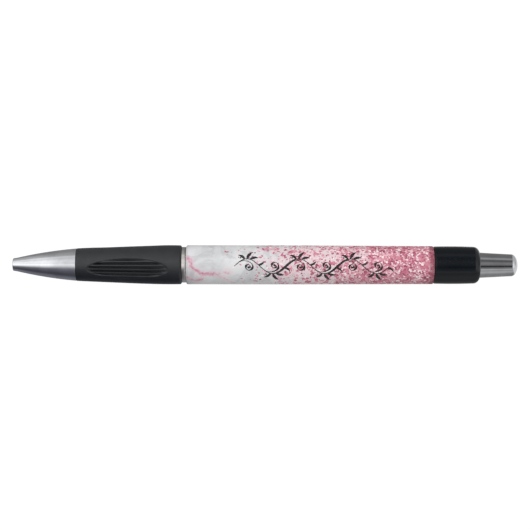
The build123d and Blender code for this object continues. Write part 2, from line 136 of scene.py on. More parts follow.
def turned(name, outline, body, material, slot, *replaced):
    """A piece of revolution about the X axis from a closed outline in millimetres."""
    mesh = bpy.data.meshes.new(name)
    bm = bmesh.new()
    rings = []
    for k in range(ROUND_STEPS):
        angle = 2 * pi * k / ROUND_STEPS
        rings.append([bm.verts.new((x * MM, r * MM * cos(angle), r * MM * sin(angle))) for x, r in outline])
    for k, ring in enumerate(rings):
        following = rings[(k + 1) % ROUND_STEPS]
        for i in range(len(outline)):
            j = (i + 1) % len(outline)
            if outline[i][1] > 0 or outline[j][1] > 0:
                bm.faces.new((ring[i], following[i], following[j], ring[j]))
    bmesh.ops.remove_doubles(bm, verts=bm.verts, dist=WELD)
    bmesh.ops.recalc_face_normals(bm, faces=bm.faces)
    bm.to_mesh(mesh)
    bm.free()
    return new_piece(name, mesh, body, material, slot, *replaced)


def tube_along(bm, points, radius, sides=14):
    """A round wire with closed ends along a list of points, in metres."""
    rings = []
    for i, point in enumerate(points):
        ahead = points[min(i + 1, len(points) - 1)] - points[max(i - 1, 0)]
        ahead.normalize()
        out = Vector((0, point.y, point.z)).normalized()
        side = ahead.cross(out).normalized()
        out = side.cross(ahead)
        ring = []
        for k in range(sides):
            angle = 2 * pi * k / sides
            ring.append(bm.verts.new(point + (out * cos(angle) + side * sin(angle)) * radius))
        rings.append(ring)
    for ring, following in zip(rings, rings[1:]):
        for k in range(sides):
            j = (k + 1) % sides
            bm.faces.new((ring[k], ring[j], following[j], following[k]))
    bm.faces.new(rings[0])
    bm.faces.new(rings[-1])
    bmesh.ops.recalc_face_normals(bm, faces=bm.faces)


# ------------------------------------------------------------------ material helpers
class Shader:
    """A Principled material whose nodes are added one by one."""

    def __init__(self, name, **values):
        self.material = bpy.data.materials.new(name)
        self.material.use_nodes = True
        self.tree = self.material.node_tree
        self.surface = self.tree.nodes["Principled BSDF"]
        self.set(self.surface, values)
        self.place = self.add("ShaderNodeTexCoord").outputs["Object"]
        self.mm = self.vector("MULTIPLY", self.place, (1 / MM,) * 3)

    def set(self, node, values):
        for key, value in values.items():
            socket = node.inputs[key.replace("_", " ")] if isinstance(key, str) else node.inputs[key]
            if isinstance(value, bpy.types.NodeSocket):
                self.tree.links.new(value, socket)
            else:
                socket.default_value = value

    def add(self, kind, properties=(), **values):
        """Add a node with its properties and the values or links of its inputs."""
        node = self.tree.nodes.new(kind)
        for key, value in dict(properties).items():
            setattr(node, key, value)
        self.set(node, values)
        return node

    def math(self, operation, a, b=0.0):
        node = self.add("ShaderNodeMath", {"operation": operation})
        self.set(node, {0: a, 1: b})
        return node.outputs[0]

    def vector(self, operation, a, b=(0, 0, 0)):
        node = self.add("ShaderNodeVectorMath", {"operation": operation})
        self.set(node, {0: a, 1: b})
        return node.outputs["Value" if operation in ("LENGTH", "DOT_PRODUCT") else "Vector"]

    def noise(self, scale, detail=3.0, roughness=0.5, distortion=0.0, place=None):
        node = self.add("ShaderNodeTexNoise", Vector=place or self.mm, Scale=scale, Detail=detail)
        self.set(node, {"Roughness": roughness, "Distortion": distortion})
        return node.outputs["Fac"]

    def cells(self, scale, place):
        node = self.add("ShaderNodeTexVoronoi", Vector=place, Scale=scale)
        return self.add("ShaderNodeSeparateColor", Color=node.outputs["Color"]).outputs

    def span(self, value, low, high, to_low=0.0, to_high=1.0, smooth=True):
        """Map low..high to to_low..to_high, clamped."""
        kind = "SMOOTHSTEP" if smooth else "LINEAR"
        node = self.add("ShaderNodeMapRange", {"interpolation_type": kind}, Value=value)
        for key, number in zip(("From Min", "From Max", "To Min", "To Max"), (low, high, to_low, to_high)):
            node.inputs[key].default_value = number
        return node.outputs["Result"]

    def ramp(self, value, stops):
        node = self.add("ShaderNodeValToRGB", Fac=value)
        while len(node.color_ramp.elements) < len(stops):
            node.color_ramp.elements.new(1.0)
        for element, (position, colour) in zip(node.color_ramp.elements, stops):
            element.position = position
            element.color = (*colour, 1)
        return node.outputs["Color"]

    def mix(self, share, a, b):
        node = self.add("ShaderNodeMix", {"data_type": "RGBA"})
        colours = [(*c, 1) if isinstance(c, tuple) else c for c in (a, b)]
        self.set(node, {0: share, 6: colours[0], 7: colours[1]})
        return node.outputs[2]

    def bump(self, height, distance, strength):
        node = self.add("ShaderNodeBump", Height=height, Distance=distance * MM, Strength=strength)
        self.set(self.surface, {"Normal": node.outputs["Normal"]})

    def use(self, **values):
        self.set(self.surface, values)
        return self.material


def srgb(r, g, b):
    """A linear colour from the 0 to 255 values a screen shows."""
    shares = (r / 255, g / 255, b / 255)
    return tuple(v / 12.92 if v <= 10 / 255 else ((v + 0.055) / 1.055) ** 2.4 for v in shares)


# ------------------------------------------------------------------ materials
def polished_metal(name, colour, smoothness, wear=0.05):
    """Metal with fine streaks along the pen and a slightly cloudy polish."""
    s = Shader(name, Metallic=1.0)
    stretched = s.vector("MULTIPLY", s.mm, (0.35, 9.0, 9.0))
    streaks = s.noise(1.0, 4, 0.6, place=stretched)
    clouds = s.noise(0.35, 4, 0.55)
    streaked = s.span(streaks, 0.3, 0.75, smoothness, smoothness + wear)
    roughness = s.math("ADD", streaked, s.span(clouds, 0.4, 0.75, 0.0, wear))
    darker = tuple(0.86 * c for c in colour)
    s.bump(streaks, 0.0012, 0.25)
    return s.use(Base_Color=s.mix(s.span(clouds, 0.35, 0.7), colour, darker), Roughness=roughness)


def moulded_plastic(name, colour, roughness, gloss=0.0, transmission=0.0, specular=0.5):
    """Plastic with a fine grain and faint flow marks in its colour."""
    s = Shader(name, Coat_Weight=gloss, Coat_Roughness=0.06, Transmission_Weight=transmission)
    s.use(Specular_IOR_Level=specular)
    grain = s.noise(9.0, 3, 0.6)
    flow = s.noise(0.25, 3, 0.5, 0.4)
    deeper = tuple(0.8 * c for c in colour)
    s.bump(grain, 0.004, 0.35)
    return s.use(
        Base_Color=s.mix(s.span(flow, 0.35, 0.7), colour, deeper),
        Roughness=s.span(grain, 0.3, 0.7, roughness, roughness * 1.25),
    )


def black_rubber():
    """Matt rubber, rougher where it lies below the smooth outer surface, with painted shade darkening its
    colour there.
    """
    s = Shader("black_rubber", Specular_IOR_Level=0.55)
    grain = s.noise(14.0, 4, 0.65)
    clouds = s.noise(0.3, 4, 0.6)
    dust = s.span(s.noise(3.2, 6, 0.7), 0.6, 0.72)
    colour = s.mix(s.span(clouds, 0.3, 0.7), srgb(37, 40, 43), srgb(31, 34, 37))
    colour = s.mix(s.math("MULTIPLY", dust, 0.18), colour, srgb(78, 80, 83))
    parts = s.add("ShaderNodeSeparateXYZ", Vector=s.mm)
    depth = s.math("SUBTRACT", GRIP_RADII[0], s.vector("LENGTH", s.vector("MULTIPLY", s.mm, (0, 1, 1))))
    stretches = zip(GRIP_PLACES, GRIP_PLACES[1:], GRIP_RADII, GRIP_RADII[1:])
    for place, next_place, radius, next_radius in stretches:
        rise = s.span(parts.outputs["X"], place, next_place, 0.0, next_radius - radius, smooth=False)
        depth = s.math("ADD", depth, rise)
    # Painted shade: where the rubber lies below its smooth outer surface, in the dish and the grooves, its
    # colour darkens toward near black. The same mask also raises the roughness.
    groove_shade_and_dullness = s.span(depth, 0.12, 0.5)
    colour = s.mix(s.math("MULTIPLY", groove_shade_and_dullness, 0.75), colour, srgb(10, 11, 12))
    rough = s.math("ADD", s.span(grain, 0.3, 0.7, 0.34, 0.45), s.math("MULTIPLY", groove_shade_and_dullness, 0.25))
    s.bump(grain, 0.008, 0.5)
    return s.use(Base_Color=colour, Roughness=rough)


def on_film(x, height):
    """The point on the film at a place along X and a height above the middle of the viewed side."""
    angle = FACING - height / BARREL_R
    return x, BARREL_R * cos(angle), BARREL_R * sin(angle)


def pink_veins(s, place):
    """How much pink the veins put at a place: the nearest stretch of any vein decides."""
    nearest = None
    for vein in PINK_VEINS:
        for (x, height, half_width), (next_x, next_height, _) in zip(vein, vein[1:]):
            start, end = Vector(on_film(x, height)), Vector(on_film(next_x, next_height))
            run = end - start
            from_start = s.vector("SUBTRACT", place, tuple(start))
            share = s.vector("DOT_PRODUCT", from_start, tuple(run / run.length_squared))
            share = s.math("MINIMUM", s.math("MAXIMUM", share, 0.0), 1.0)
            along_run = s.add("ShaderNodeVectorMath", {"operation": "SCALE"}, Scale=share)
            s.set(along_run, {0: tuple(run)})
            away = s.vector("LENGTH", s.vector("SUBTRACT", from_start, along_run.outputs[0]))
            away = s.math("SUBTRACT", away, half_width)
            nearest = away if nearest is None else s.math("MINIMUM", nearest, away)
    return nearest


def printed_film():
    """The printed film: veined marble at the front that turns into rose glitter at the rear."""
    s = Shader("printed_film", Coat_Weight=0.3, Coat_Roughness=0.15, Specular_IOR_Level=0.4)
    along = s.add("ShaderNodeSeparateXYZ", Vector=s.mm).outputs["X"]

    clouds = s.noise(0.16, 5, 0.55, 0.5)
    marble = s.mix(s.span(clouds, 0.32, 0.68), srgb(227, 227, 228), srgb(207, 208, 210))
    ridge = s.math("ABSOLUTE", s.math("SUBTRACT", s.noise(0.1, 5, 0.55, 0.9), 0.5))
    marble = s.mix(s.span(ridge, 0.0, 0.05, 0.4, 0.0), marble, srgb(176, 177, 181))
    shade = s.noise(0.45, 6, 0.7, 0.8)
    marble = s.mix(s.span(shade, 0.55, 0.72, 0.0, 0.45), marble, srgb(186, 187, 190))

    warp = s.add("ShaderNodeTexNoise", Vector=s.mm, Scale=0.55, Detail=5.0, Roughness=0.7)
    shift = s.vector("MULTIPLY", s.vector("SUBTRACT", warp.outputs["Color"], (0.5,) * 3), (3.4,) * 3)
    away = pink_veins(s, s.vector("ADD", s.mm, shift))
    patchy = s.noise(1.5, 5, 0.7)
    core = s.math("MULTIPLY", s.span(away, -0.3, 0.35, 1.0, 0.0), s.span(patchy, 0.3, 0.62, 0.3, 1.0))
    halo = s.span(away, -0.2, 1.5, 0.5, 0.0)
    colour = s.mix(s.math("MULTIPLY", halo, s.span(patchy, 0.35, 0.6)), marble, srgb(233, 182, 197))
    colour = s.mix(core, colour, srgb(210, 122, 152))

    spread = s.noise(0.2, 4, 0.6)
    reach = s.math("ADD", along, s.span(spread, 0.25, 0.75, -9.0, 9.0, smooth=False))
    for start, end, share, veil in VEILS:
        colour = s.mix(s.span(reach, start, end, 0.0, share), colour, veil)
    for scale, thin_x, dense_x, most, stops in GLITTER_LAYERS:
        chance = s.cells(scale, s.vector("MULTIPLY", s.mm, FLAKE_STRETCH))
        share = s.span(reach, thin_x, dense_x, 0.0, most, smooth=False)
        shown = s.math("LESS_THAN", chance["Red"], share)
        colour = s.mix(shown, colour, s.ramp(chance["Green"], stops))
    # Painted shade: a deep pink band darkens the film along its rear edge, where it meets the cap.
    joint_shade_front = FILM_REAR - JOINT_SHADE_WIDTH
    joint_shade = s.span(along, joint_shade_front - JOINT_SHADE_BLEND, joint_shade_front + JOINT_SHADE_BLEND, 0.0, JOINT_SHADE_SHARE)
    colour = s.mix(joint_shade, colour, JOINT_SHADE_ROSE)
    s.bump(s.noise(4.0, 3, 0.5), 0.002, 0.4)
    return s.use(Base_Color=colour, Roughness=s.span(shade, 0.3, 0.7, 0.34, 0.46))


def black_ink():
    """Dry printed ink, slightly uneven."""
    s = Shader("black_ink", Coat_Weight=0.12, Coat_Roughness=0.15)
    grain = s.noise(5.0, 4, 0.6)
    colour = s.mix(grain, srgb(19, 17, 19), srgb(42, 36, 40))
    return s.use(Base_Color=colour, Roughness=s.span(grain, 0.3, 0.7, 0.36, 0.5))


def wet_ink():
    """Gel ink inside the refill."""
    s = Shader("wet_ink", Coat_Weight=1.0, Coat_Roughness=0.03)
    swirl = s.noise(0.8, 3, 0.5, 1.0)
    return s.use(Base_Color=s.mix(swirl, (0.004, 0.004, 0.006), (0.014, 0.013, 0.018)), Roughness=0.2)


ROSE = [
    (0.0, srgb(140, 66, 88)),
    (0.16, srgb(176, 92, 114)),
    (0.38, srgb(201, 116, 136)),
    (0.62, srgb(214, 140, 156)),
    (0.8, srgb(236, 190, 200)),
    (0.93, srgb(250, 226, 230)),
]
FINE_ROSE = [
    (0.0, srgb(150, 74, 96)),
    (0.3, srgb(196, 104, 128)),
    (0.6, srgb(226, 164, 178)),
    (0.85, srgb(252, 234, 236)),
]
# The film's ends, where its taper starts and how far it tapers, and a deep pink band of painted shade along
# its rear edge, where it meets the cap.
FILM_FRONT, FILM_REAR = -21.6, 46.9
TAPER_START, FILM_TAPER = 6.0, 0.15
JOINT_SHADE_WIDTH, JOINT_SHADE_BLEND, JOINT_SHADE_SHARE, JOINT_SHADE_ROSE = 1.0, 0.3, 0.78, srgb(142, 62, 82)
# Each veil under the glitter: where it begins and is full along X, its share and its colour.
VEILS = [(-3.0, 12.0, 0.8, srgb(234, 210, 215)), (16.0, 37.0, 0.9, srgb(203, 124, 142))]
FLAKE_STRETCH = (0.85, 1.0, 1.0)
# Each layer: cells per millimetre, where flakes begin and are densest along X, the largest share
# of cells that are flakes, and their colours.
GLITTER_LAYERS = [
    (1.0, 0.0, 33.0, 0.6, ROSE),
    (1.7, -9.0, 32.0, 0.45, FINE_ROSE),
    (2.9, -8.0, 35.0, 0.34, ROSE),
]
# Each vein is a few points of (place along X, height above the middle of the viewed side, half
# the width of the pink).
PINK_VEINS = [
    [
        (-21.7, 1.7, 0.3),
        (-20.4, 0.5, 0.35),
        (-20.2, -0.8, 0.45),
        (-19.0, -1.9, 0.45),
        (-17.4, -2.8, 0.45),
        (-14.6, -2.6, 0.2),
        (-10.2, -2.3, 0),
    ],
    [(-21.6, -4.0, 0.2), (-19.4, -5.2, 0.35), (-17.4, -4.4, 0.05)],
    [(-13.6, -2.8, 0.05), (-11.1, -4.4, 0.08), (-8.9, -6.5, 0)],
    [(-2.6, 0.6, 0.1), (-0.8, 1.3, 0.05)],
    [(2.2, 1.0, 0.2), (2.5, -0.6, 0.05)],
    [(-0.4, 5.2, 0.5), (3.2, 5.0, 0.1)],
    [(3.6, -2.4, 0.25), (4.2, -5.2, 0)],
]

# The smooth outside of the rubber: radii at places along X.
GRIP_PLACES = (-52.65, -44.2, -37.5, -30.7, -23.9)
GRIP_RADII = (4.6, 4.97, 5.24, 5.46, 5.48)

CHROME = polished_metal("chrome", (0.66, 0.665, 0.69), 0.05, 0.02)
CLIP_METAL = polished_metal("clip_metal", (0.66, 0.665, 0.69), 0.1)
RING_METAL = polished_metal("ring_metal", (0.64, 0.61, 0.59), 0.08)
POINT_METAL = polished_metal("point_metal", (0.62, 0.6, 0.55), 0.18)
WIRE = polished_metal("spring_wire", (0.6, 0.6, 0.6), 0.2)
RUBBER = black_rubber()
PRINT = printed_film()
INK = black_ink()
CAP_BLACK = moulded_plastic("cap_black", (0.0038, 0.0058, 0.0088), 0.16, specular=0.38)
CORE_BLACK = moulded_plastic("core_black", (0.02, 0.02, 0.022), 0.35)
WHITE = moulded_plastic("white_plastic", (0.7, 0.7, 0.69), 0.3, gloss=0.2)
GUIDE = moulded_plastic("guide_plastic", (0.55, 0.54, 0.5), 0.4)
PLUNGER = moulded_plastic("plunger_plastic", (0.05, 0.05, 0.055), 0.38)
CLEAR = moulded_plastic("clear_tube", (0.9, 0.93, 0.94), 0.12, transmission=0.85)
HOLDER = moulded_plastic("holder_plastic", (0.75, 0.78, 0.8), 0.25, transmission=0.5)
GREASE = moulded_plastic("grease", (0.85, 0.72, 0.42), 0.1, gloss=0.5, transmission=0.7)
GEL = wet_ink()

# ------------------------------------------------------------------ nose cone
NOSE_FRONT, NOSE_REAR, NOSE_REAR_R = -70.86, -52.95, 4.55
RIM_REAR = -70.56
HOLE_REAR, HOLE_R = -65.6, 1.25
CHAMBER_FRONT_R, CHAMBER_REAR_R = 2.2, 2.85
BORE_FRONT, BORE_R = -57.35, 3.52
# The recess at the rear clears the shoulder of the grip core.
RECESS_FRONT, RECESS_R = -53.25, 3.85
nose_outside = arc((RIM_REAR, 1.72), (-62.8, 3.31), (NOSE_REAR, NOSE_REAR_R), 40)
turned(
    "nose_cone_shell",
    rounded(
        [(NOSE_FRONT, HOLE_R, 0.08), (NOSE_FRONT, 1.68, 0.22), (RIM_REAR, 1.79, 0)]
        + nose_outside[1:]
        + [
            (NOSE_REAR, NOSE_REAR_R, 0.06),
            (NOSE_REAR, RECESS_R, 0.05),
            (RECESS_FRONT, RECESS_R, 0),
            (RECESS_FRONT, BORE_R, 0),
            (BORE_FRONT, BORE_R, 0),
            (BORE_FRONT, CHAMBER_REAR_R, 0),
            (HOLE_REAR, CHAMBER_FRONT_R, 0),
            (HOLE_REAR, HOLE_R, 0),
        ]
    ),
    "nose",
    CHROME,
    "nose_cone",
    "nose_cone",
)

# ------------------------------------------------------------------ rubber grip
# The fields of ribs are leaves round FIELD_MIDDLE. The viewed one sits FIELD_BELOW under the middle
# of the viewed side, and its edge lies FIELD_ANGLE to either side of its own middle.
GRIP_FRONT, GRIP_REAR = -52.9, -23.4
GRIP_STEPS = 420
GRIP_ROUND = 720
FRONT_EDGE, REAR_EDGE = 0.25, 0.5
CORE_FRONT_R, CORE_REAR_R = 3.72, 4.22
FIELD_MIDDLE, FIELD_HALF = -38.4, 11.7
FIELD_TURN = 2 * pi / 3
FIELD_ANGLE = radians(36)
FIELD_BELOW = radians(15)
RIB_PITCH = radians(12.7)
FIRST_GROOVE = radians(-18.3)
DISH_DEPTH, GROOVE_DEPTH = 0.14, 0.72


def edge_drop(distance, radius):
    """How far a quarter-round edge lies below the surface at a distance from the end."""
    inside = np.clip(radius - distance, 0, radius)
    return radius - np.sqrt(np.maximum(radius**2 - inside**2, 0))


def smooth(value, low, high):
    """Rises from 0 at low to 1 at high with level ends."""
    t = np.clip((value - low) / (high - low), 0, 1)
    return t * t * (3 - 2 * t)


def grip_radius(x, angle):
    """The outer radius of the rubber, with its leaf-shaped fields of ribs."""
    curve = np.polynomial.Polynomial.fit(GRIP_PLACES, GRIP_RADII, 4)
    radius = curve(np.clip(x, GRIP_PLACES[0], GRIP_PLACES[-1]))
    radius = radius - edge_drop(x - GRIP_FRONT, FRONT_EDGE) - edge_drop(GRIP_REAR - x, REAR_EDGE)
    # The angle from the middle of the nearest field, positive towards its lower edge.
    off = FIELD_TURN / 2 - (FACING + FIELD_BELOW - angle + FIELD_TURN / 2) % FIELD_TURN
    s = (x - FIELD_MIDDLE) / FIELD_HALF
    leaf = 1 - np.abs(s) ** 1.9 - (off / FIELD_ANGLE) ** 2
    # The dish fades below the middle of the field, and the grooves get shallower below and behind.
    lower = smooth(off / FIELD_ANGLE, 0.2, 0.9)
    edge = smooth(np.abs(off) / FIELD_ANGLE, 0.4, 1.0)
    dish = smooth(leaf, 0.0, 0.14 + 0.4 * lower) * (1 - lower)
    groove = smooth(leaf, 0.04, 0.32 + 0.36 * edge) * (1 - 0.75 * smooth(s, 0.4, 1.0)) * (1 - 0.6 * lower)
    ribs = 0.5 - 0.5 * np.cos(2 * pi * (off - FIRST_GROOVE) / RIB_PITCH)
    ribs = smooth(ribs, 0.15, 0.8)
    return radius - DISH_DEPTH * dish - GROOVE_DEPTH * groove * (1 - ribs)


def rubber_mesh():
    """The skin of the rubber, a lining and the two end faces, closed."""
    mesh = bpy.data.meshes.new("rubber_grip_skin")
    share = np.linspace(0, 1, GRIP_STEPS)
    places = GRIP_FRONT + (GRIP_REAR - GRIP_FRONT) * share
    front = GRIP_FRONT + FRONT_EDGE * (1 - np.cos(np.linspace(0, pi / 2, 8)))
    rear = GRIP_REAR - REAR_EDGE * (1 - np.cos(np.linspace(0, pi / 2, 10)))
    places = np.unique(np.concatenate([front, places[(places > front[-1]) & (places < rear[-1])], rear]))
    angles = np.linspace(0, 2 * pi, GRIP_ROUND, endpoint=False)
    x, a = np.meshgrid(places, angles, indexing="ij")
    outer = grip_radius(x, a)
    core = CORE_FRONT_R + (CORE_REAR_R - CORE_FRONT_R) * (x - GRIP_FRONT) / (GRIP_REAR - GRIP_FRONT)
    skin = np.stack([x, outer * np.cos(a), outer * np.sin(a)], -1).reshape(-1, 3)
    lining = np.stack([x, core * np.cos(a), core * np.sin(a)], -1)[[0, -1]].reshape(-1, 3)
    rows = len(places)
    faces = []
    for i in range(rows - 1):
        for k in range(GRIP_ROUND):
            j = (k + 1) % GRIP_ROUND
            here, following = i * GRIP_ROUND, (i + 1) * GRIP_ROUND
            faces.append((here + k, here + j, following + j, following + k))
    inner = rows * GRIP_ROUND
    last = (rows - 1) * GRIP_ROUND
    for k in range(GRIP_ROUND):
        j = (k + 1) % GRIP_ROUND
        faces.append((j, k, inner + k, inner + j))
        faces.append((last + k, last + j, inner + GRIP_ROUND + j, inner + GRIP_ROUND + k))
        faces.append((inner + j, inner + k, inner + GRIP_ROUND + k, inner + GRIP_ROUND + j))
    mesh.from_pydata(np.concatenate([skin, lining]) * MM, [], faces)
    mesh.validate()
    bm = bmesh.new()
    bm.from_mesh(mesh)
    bmesh.ops.recalc_face_normals(bm, faces=bm.faces)
    bm.to_mesh(mesh)
    bm.free()
    return mesh


new_piece("rubber_grip_skin", rubber_mesh(), "barrel", RUBBER, "rubber_grip", "rubber_grip", smooth_to=60)

# ------------------------------------------------------------------ trim ring
RING_FRONT, RING_REAR = -23.38, -22.12
RING_R, RING_BORE_R, RING_EDGE = 5.01, 4.22, 0.16
turned(
    "trim_ring_band",
    rounded(
        [
            (RING_FRONT, RING_BORE_R, 0),
            (RING_FRONT, RING_R, RING_EDGE),
            (RING_REAR, RING_R, RING_EDGE),
            (RING_REAR, RING_BORE_R, 0),
        ]
    ),
    "barrel",
    RING_METAL,
    "trim_ring",
    "trim_ring",
)

# ------------------------------------------------------------------ barrel tube and printed film
BARREL_FRONT, BARREL_REAR = -22.1, 47.25
LIP_R, LIP_REAR = 5.02, -21.62
TUBE_R, TUBE_REAR_R = 5.35, 5.2
TUBE_BORE_FRONT_R, TUBE_BORE_R, BORE_STEP = 4.25, 4.65, -11.6
FILM_LINING_R = 5.37
turned(
    "barrel_shell",
    rounded(
        [
            (BARREL_FRONT, TUBE_BORE_FRONT_R, 0),
            (BARREL_FRONT, LIP_R, 0),
            *arc((BARREL_FRONT, LIP_R), (-21.96, 5.36), (LIP_REAR, 5.48), 8),
            (LIP_REAR, 5.48, 0),
            (LIP_REAR, TUBE_R, 0),
            (TAPER_START, TUBE_R, 0),
            (46.92, TUBE_REAR_R, 0),
            (46.92, 5.33, 0),
            (47.1, 5.3, 0.05),
            (BARREL_REAR, 5.15, 0.05),
            (BARREL_REAR, TUBE_BORE_R, 0),
            (BORE_STEP, TUBE_BORE_R, 0),
            (BORE_STEP, TUBE_BORE_FRONT_R, 0),
        ]
    ),
    "barrel",
    PRINT,
    "barrel_tube",
    "barrel_tube",
)
turned(
    "printed_film",
    rounded(
        [
            (FILM_FRONT, FILM_LINING_R, 0),
            (FILM_FRONT, BARREL_R, 0.05),
            (TAPER_START, BARREL_R, 0),
            (FILM_REAR, BARREL_R - FILM_TAPER, 0.05),
            (FILM_REAR, FILM_LINING_R - FILM_TAPER, 0),
            (TAPER_START, FILM_LINING_R, 0),
        ]
    ),
    "barrel",
    PRINT,
    "printed_sleeve",
    "printed_sleeve",
)

# ------------------------------------------------------------------ end cap
CAP_REAR = 60.2
CAP_BORE_R, BUTTON_HOLE_R, HOLE_FRONT = 4.05, 3.64, 59.4
SPIGOT_FRONT, SPIGOT_R, CAP_FRONT = 36.0, 4.6, 47.35
side_front, side_rear, rear_rim = (47.55, 5.23), (CAP_REAR - 1.75, 5.17), (CAP_REAR, 3.9)
turned(
    "end_cap_shell",
    rounded(
        [
            (SPIGOT_FRONT, CAP_BORE_R, 0),
            (SPIGOT_FRONT, SPIGOT_R, 0.1),
            (CAP_FRONT, SPIGOT_R, 0),
            (CAP_FRONT, 5.06, 0.08),
            (*side_front, 0.08),
            *arc(side_front, (51.5, 5.29), side_rear, 16),
            (*side_rear, 0),
            *arc(side_rear, (CAP_REAR - 0.48, 4.68), rear_rim, 16),
            (*rear_rim, 0.05),
            (CAP_REAR, BUTTON_HOLE_R, 0.06),
            (HOLE_FRONT, BUTTON_HOLE_R, 0),
            (HOLE_FRONT, CAP_BORE_R, 0),
        ]
    ),
    "barrel",
    CAP_BLACK,
    "end_cap",
    "end_cap",
)

# ------------------------------------------------------------------ push button
BUTTON_CREASE, BUTTON_END, CREASE_R = 69.2, 71.0, 3.1
DOME_STEPS, DOME_POWER = 24, 0.9
FLANGE_FRONT, FLANGE_REAR, FLANGE_R = 58.4, 59.3, 3.85
BUTTON_R, BUTTON_BORE_R, BUTTON_BORE_REAR = 3.58, 2.45, 65.2
dome = [
    (
        BUTTON_CREASE + (BUTTON_END - BUTTON_CREASE) * sin(pi / 2 * k / DOME_STEPS),
        CREASE_R * cos(pi / 2 * k / DOME_STEPS) ** DOME_POWER,
        0,
    )
    for k in range(1, DOME_STEPS)
]
turned(
    "push_button_shell",
    rounded(
        [
            (FLANGE_FRONT, BUTTON_BORE_R, 0),
            (FLANGE_FRONT, FLANGE_R, 0.08),
            (FLANGE_REAR, FLANGE_R, 0.08),
            (FLANGE_REAR, BUTTON_R, 0),
            (60.0, BUTTON_R, 0),
            (BUTTON_CREASE, CREASE_R, 0.2),
            *dome,
            (BUTTON_END, 0, 0),
            (BUTTON_BORE_REAR, 0, 0),
            (BUTTON_BORE_REAR, BUTTON_BORE_R, 0),
        ]
    ),
    "button",
    CHROME,
    "push_button",
    "push_button",
)

# ------------------------------------------------------------------ return spring
SPRING_SEAT, SPRING_SHOULDER = -65.58, -55.52
SPRING_R, WIRE_R = 1.85, 0.2
CLOSED_PITCH = 2.1 * WIRE_R
OPEN_TURNS, CLOSED_TURNS = 5.5, 1.0
STEPS_PER_TURN = 64


def spring_points():
    """The wire's centre line: a closed turn at each end and open turns between them."""
    closed_rise = CLOSED_PITCH * CLOSED_TURNS
    open_rise = SPRING_SHOULDER - SPRING_SEAT - 2 * WIRE_R - 2 * closed_rise
    turns = OPEN_TURNS + 2 * CLOSED_TURNS
    points = []
    for i in range(int(turns * STEPS_PER_TURN) + 1):
        t = i / STEPS_PER_TURN
        rise = closed_rise * min(t / CLOSED_TURNS, 1)
        rise += open_rise * smooth_step((t - CLOSED_TURNS) / OPEN_TURNS)
        rise += closed_rise * max(0, (t - CLOSED_TURNS - OPEN_TURNS) / CLOSED_TURNS)
        turn = 2 * pi * t
        point = Vector((SPRING_SEAT + WIRE_R + rise, SPRING_R * cos(turn), SPRING_R * sin(turn)))
        points.append(point * MM)
    return points


def smooth_step(t):
    """Rises from 0 to 1 in a straight line with softened ends."""
    t = min(max(t, 0), 1)
    return t - sin(2 * pi * t) / (2 * pi) * 0.35


spring_mesh = bpy.data.meshes.new("return_spring_wire")
wire = bmesh.new()
tube_along(wire, spring_points(), WIRE_R * MM)
wire.to_mesh(spring_mesh)
wire.free()
spring = new_piece("return_spring_wire", spring_mesh, "barrel", WIRE, "return_spring", "return_spring")
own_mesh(spring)

# ------------------------------------------------------------------ carried-over CAD pieces
FINISHES = {
    "grip_core": CORE_BLACK,
    "pocket_clip": CLIP_METAL,
    "cam_guide": GUIDE,
    "cam_rotor": WHITE,
    "cam_plunger": PLUNGER,
    "writing_ball": POINT_METAL,
    "point_tip": POINT_METAL,
    "tip_spring": WIRE,
    "point_holder": HOLDER,
    "refill_tube": CLEAR,
    "gel_ink": GEL,
    "grease_follower": GREASE,
    "tail_plug": WHITE,
}
for node_name, finish in FINISHES.items():
    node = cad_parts[node_name]
    node.data.materials.clear()
    node.data.materials.append(finish)

# ------------------------------------------------------------------ the printed flourish
# A running scroll of stems, curls, leaves and berries, drawn with a broad pen. Strokes are lists
# of points (place along X, height above the middle of the viewed side) on the unrolled film.
INK_TOP, INK_BOTTOM = 0.012, -0.03
NIB_ANGLE = radians(62)
NIB_THIN, NIB_THICK = 0.17, 0.7
SCROLL_START, SCROLL_PERIOD, BAYS = -8.6, 14.4, 6
SCROLL_HEIGHT, SCROLL_MIDDLE = 2.1, -0.4
CURL_R, CURL_END_R, CURL_TURNS = 1.3, 0.2, 1.75
# Where in a bay a curl leaves the stem and has its middle, and the share of it that joins them.
CURL_START, CURL_MIDDLE, CURL_JOIN = 0.06, 0.56, 0.17
CURL_STEPS, STEM_POINTS, LEAF_POINTS, BERRY_POINTS = 90, 320, 28, 17
STEM_WEIGHT, BUD_R = 1.25, 0.3
# Leaves in each bay: place along the bay, angle, length, width and bend in degrees.
LEAVES = [
    (0.4, 112, 2.2, 0.7, 34),
    (0.5, 78, 2.7, 0.8, -26),
    (0.62, 40, 2.3, 0.7, -30),
    (0.93, -8, 2.0, 0.56, 40),
]
# Berries in each bay: place along the bay, height over the stem and radius.
BERRIES = [(0.24, 0.95, 0.2), (0.17, 1.5, 0.15), (0.8, 1.0, 0.15)]


def film_radius(x):
    """The radius of the printed film, which tapers towards the rear."""
    return BARREL_R - FILM_TAPER * min(max((x - TAPER_START) / (FILM_REAR - TAPER_START), 0), 1)


def stem(bay):
    """The long wave that carries the curls, at a number of bays from its start."""
    return (
        SCROLL_START + bay * SCROLL_PERIOD / 2,
        SCROLL_MIDDLE + SCROLL_HEIGHT * sin(pi * bay),
    )


def curl(bay, side):
    """A branch that leaves the stem at the start of a bay and winds up inside it."""
    centre = Vector(stem(bay + CURL_MIDDLE)) - Vector((0, side * (SCROLL_HEIGHT + 0.1)))
    start = Vector(stem(bay + CURL_START))
    first = (start - centre).length
    first_angle = atan2(side * (start.y - centre.y), start.x - centre.x) % (2 * pi)
    points = []
    for k in range(CURL_STEPS + 1):
        t = k / CURL_STEPS
        joining = max(0, 1 - t / CURL_JOIN) ** 2
        radius = CURL_END_R + CURL_R * (1 - t) + (first - CURL_END_R - CURL_R) * joining
        angle = first_angle - 2 * pi * CURL_TURNS * t
        points.append((centre.x + radius * cos(angle), centre.y + side * radius * sin(angle)))
    return points


